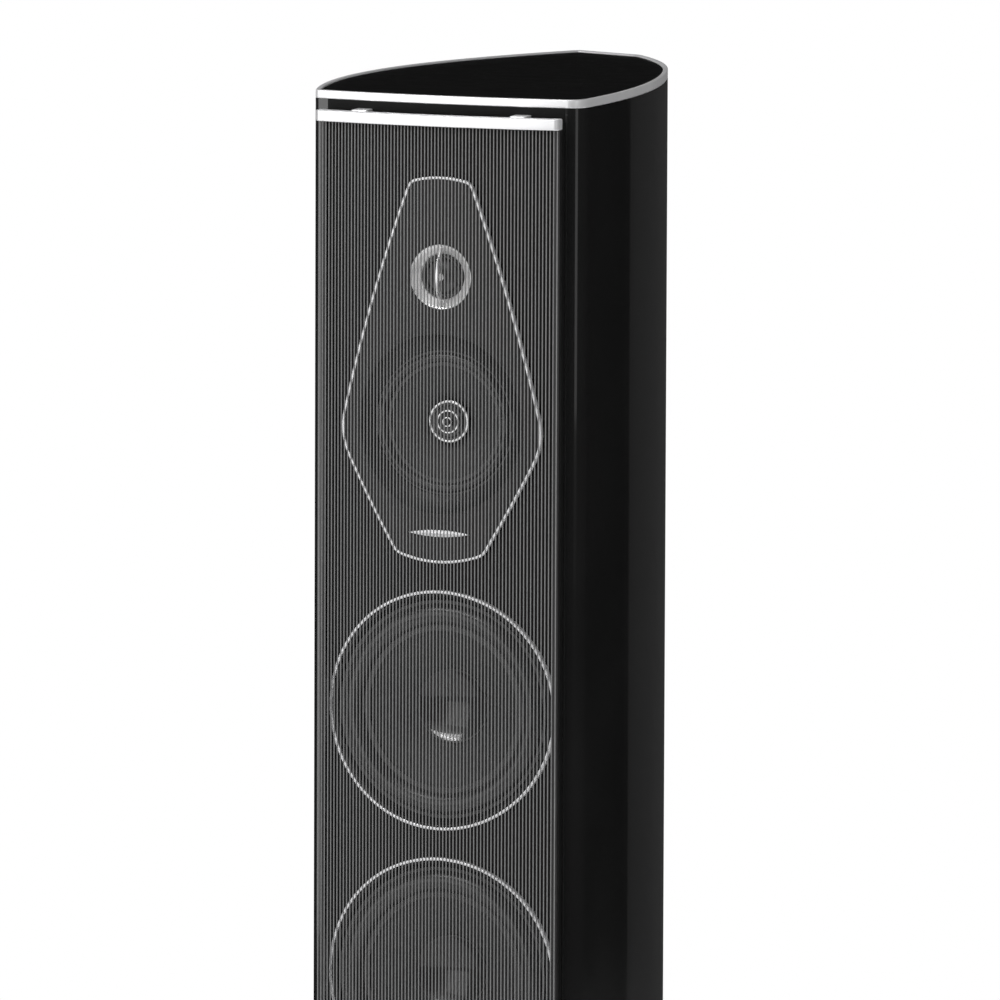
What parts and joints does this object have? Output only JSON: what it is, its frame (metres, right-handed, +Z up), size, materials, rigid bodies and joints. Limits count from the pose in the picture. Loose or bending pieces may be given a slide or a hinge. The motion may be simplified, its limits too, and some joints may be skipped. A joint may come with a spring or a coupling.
{
  "type": "floorstanding speaker",
  "caption": "Tall lute-shaped floorstanding loudspeaker with a pull-off string grille, coaxially stacked cone and dome drivers and levelling spike feet.",
  "frame": {"origin": "on the floor, at the middle of the footprint of the four spike shoes", "axes": "+Z up along the cabinet's height, front baffle and grille face -Y, +X to the viewer's right when facing the front"},
  "size_m": [0.37, 0.454, 1.103],
  "materials": {
    "lacquered_wood": "polished black lacquer",
    "leather_black": "fine-grained black leather",
    "bottom_wood": "matt black board",
    "polished_aluminium": "finely brushed",
    "felt": "soft needled felt",
    "circuit": "board with wound parts",
    "wire": "soft insulation",
    "black_painted_metal": "satin black",
    "turned_aluminium": "turned and bright",
    "silk": "coated dome cloth",
    "rubber_surround": "soft matt rubber",
    "black_steel": "blackened steel",
    "magnet": "sintered magnet and steel",
    "paper_cone": "pressed fibre pulp",
    "spider_cloth": "woven and varnished",
    "elastic_string": "round elastic cord",
    "nickel_brass": "nickel plated",
    "spike_steel": "polished",
    "shoe_steel": "turned"
  },
  "bodies": {
    "cabinet": {"array_plate": "black_painted_metal", "array_trim": "polished_aluminium", "badge_plate": "polished_aluminium", "binding_posts": "nickel_brass", "bottom_panel": "bottom_wood", "cabinet_rims": "polished_aluminium", "crossover": "circuit", "damping_felt": "felt", "driver_screws": "black_steel", "front_baffle": "leather_black", "front_outrigger": "polished_aluminium", "internal_braces": "bottom_wood", "internal_wiring": "wire", "lower_woofer_spider": "spider_cloth", "lower_woofer_surround": "rubber_surround", "mid_basket": "black_painted_metal", "mid_motor": "magnet", "mid_phase_plug": "turned_aluminium", "mid_spider": "spider_cloth", "mid_surround": "rubber_surround", "outrigger_bolts": "black_steel", "rear_outrigger": "polished_aluminium", "rear_spine": "lacquered_wood", "side_wall_left": "lacquered_wood", "side_wall_right": "lacquered_wood", "terminal_plate": "black_painted_metal", "terminal_screws": "black_steel", "top_panel": "leather_black", "tweeter_bridge": "turned_aluminium", "tweeter_faceplate": "turned_aluminium", "tweeter_motor": "magnet", "tweeter_surround": "rubber_surround", "upper_woofer_spider": "spider_cloth", "upper_woofer_surround": "rubber_surround", "vent_frame": "polished_aluminium", "vent_mesh": "black_painted_metal", "woofer_baskets": "black_painted_metal", "woofer_motors": "magnet", "woofer_trim_rings": "polished_aluminium"},
    "tweeter_dome": {"tweeter_dome": "silk"},
    "mid_cone": {"mid_cone": "paper_cone"},
    "upper_woofer_cone": {"upper_woofer_cone": "paper_cone"},
    "lower_woofer_cone": {"lower_woofer_cone": "paper_cone"},
    "grille": {"grille_top_bar": "polished_aluminium", "grille_bottom_bar": "polished_aluminium", "grille_strings": "elastic_string", "grille_frame": "black_steel"},
    "lower_post_collar": {"lower_post_collar": "nickel_brass"},
    "lower_post_nut": {"lower_post_nut": "nickel_brass"},
    "upper_post_collar": {"upper_post_collar": "nickel_brass"},
    "upper_post_nut": {"upper_post_nut": "nickel_brass"},
    "shoe_front_left": {"shoe_front_left": "shoe_steel"},
    "spike_front_left": {"spike_front_left": "spike_steel"},
    "shoe_front_right": {"shoe_front_right": "shoe_steel"},
    "spike_front_right": {"spike_front_right": "spike_steel"},
    "shoe_rear_left": {"shoe_rear_left": "shoe_steel"},
    "spike_rear_left": {"spike_rear_left": "spike_steel"},
    "shoe_rear_right": {"shoe_rear_right": "shoe_steel"},
    "spike_rear_right": {"spike_rear_right": "spike_steel"}
  },
  "joints": [
    {"name": "tweeter_stroke", "type": "slide", "parent": "cabinet", "child": "tweeter_dome", "axis": [0, -1, 0], "range_m": [-0.0005, 0.0005], "stiffness_N_per_m": 4000, "deforming": ["tweeter_surround"]},
    {"name": "mid_stroke", "type": "slide", "parent": "cabinet", "child": "mid_cone", "axis": [0, -1, 0], "range_m": [-0.0035, 0.0035], "stiffness_N_per_m": 2000, "deforming": ["mid_surround", "mid_spider"]},
    {"name": "upper_woofer_stroke", "type": "slide", "parent": "cabinet", "child": "upper_woofer_cone", "axis": [0, -1, 0], "range_m": [-0.007, 0.007], "stiffness_N_per_m": 1500, "deforming": ["upper_woofer_surround", "upper_woofer_spider"]},
    {"name": "lower_woofer_stroke", "type": "slide", "parent": "cabinet", "child": "lower_woofer_cone", "axis": [0, -1, 0], "range_m": [-0.007, 0.007], "stiffness_N_per_m": 1500, "deforming": ["lower_woofer_surround", "lower_woofer_spider"]},
    {"name": "grille_pull_off", "type": "slide", "parent": "cabinet", "child": "grille", "axis": [0, -1, 0], "range_m": [0, 0.06]},
    {"name": "lower_collar_slide", "type": "slide", "parent": "cabinet", "child": "lower_post_collar", "axis": [0.3026, 0.9531, 0], "range_m": [0, 0.006]},
    {"name": "lower_nut_turn", "type": "hinge", "parent": "lower_post_collar", "child": "lower_post_nut", "pos_m": [-0.0065, 0.21, 0.1805], "axis": [0.3026, 0.9531, 0], "range_deg": [-5, 2165]},
    {"name": "upper_collar_slide", "type": "slide", "parent": "cabinet", "child": "upper_post_collar", "axis": [0.3026, 0.9531, 0], "range_m": [0, 0.006]},
    {"name": "upper_nut_turn", "type": "hinge", "parent": "upper_post_collar", "child": "upper_post_nut", "pos_m": [-0.0065, 0.21, 0.1995], "axis": [0.3026, 0.9531, 0], "range_deg": [-5, 2165]},
    {"name": "front_left_level", "type": "slide", "parent": "cabinet", "child": "shoe_front_left", "axis": [0, 0, -1], "range_m": [-0.005, 0.005]},
    {"name": "front_left_spike_turn", "type": "hinge", "parent": "shoe_front_left", "child": "spike_front_left", "pos_m": [-0.167, -0.209, 0.04], "axis": [0, 0, -1], "range_deg": [-1445, 1445]},
    {"name": "front_right_level", "type": "slide", "parent": "cabinet", "child": "shoe_front_right", "axis": [0, 0, -1], "range_m": [-0.005, 0.005]},
    {"name": "front_right_spike_turn", "type": "hinge", "parent": "shoe_front_right", "child": "spike_front_right", "pos_m": [0.167, -0.209, 0.04], "axis": [0, 0, -1], "range_deg": [-1445, 1445]},
    {"name": "rear_left_level", "type": "slide", "parent": "cabinet", "child": "shoe_rear_left", "axis": [0, 0, -1], "range_m": [-0.005, 0.005]},
    {"name": "rear_left_spike_turn", "type": "hinge", "parent": "shoe_rear_left", "child": "spike_rear_left", "pos_m": [-0.105, 0.209, 0.04], "axis": [0, 0, -1], "range_deg": [-1445, 1445]},
    {"name": "rear_right_level", "type": "slide", "parent": "cabinet", "child": "shoe_rear_right", "axis": [0, 0, -1], "range_m": [-0.005, 0.005]},
    {"name": "rear_right_spike_turn", "type": "hinge", "parent": "shoe_rear_right", "child": "spike_rear_right", "pos_m": [0.105, 0.209, 0.04], "axis": [0, 0, -1], "range_deg": [-1445, 1445]}
  ],
  "couplings": [
    {"joint": "lower_nut_turn", "follows": "lower_collar_slide", "rad_per_m": 6283.2},
    {"joint": "upper_nut_turn", "follows": "upper_collar_slide", "rad_per_m": 6283.2},
    {"joint": "front_left_spike_turn", "follows": "front_left_level", "rad_per_m": 5026.5},
    {"joint": "front_right_spike_turn", "follows": "front_right_level", "rad_per_m": 5026.5},
    {"joint": "rear_left_spike_turn", "follows": "rear_left_level", "rad_per_m": 5026.5},
    {"joint": "rear_right_spike_turn", "follows": "rear_right_level", "rad_per_m": 5026.5}
  ]
}
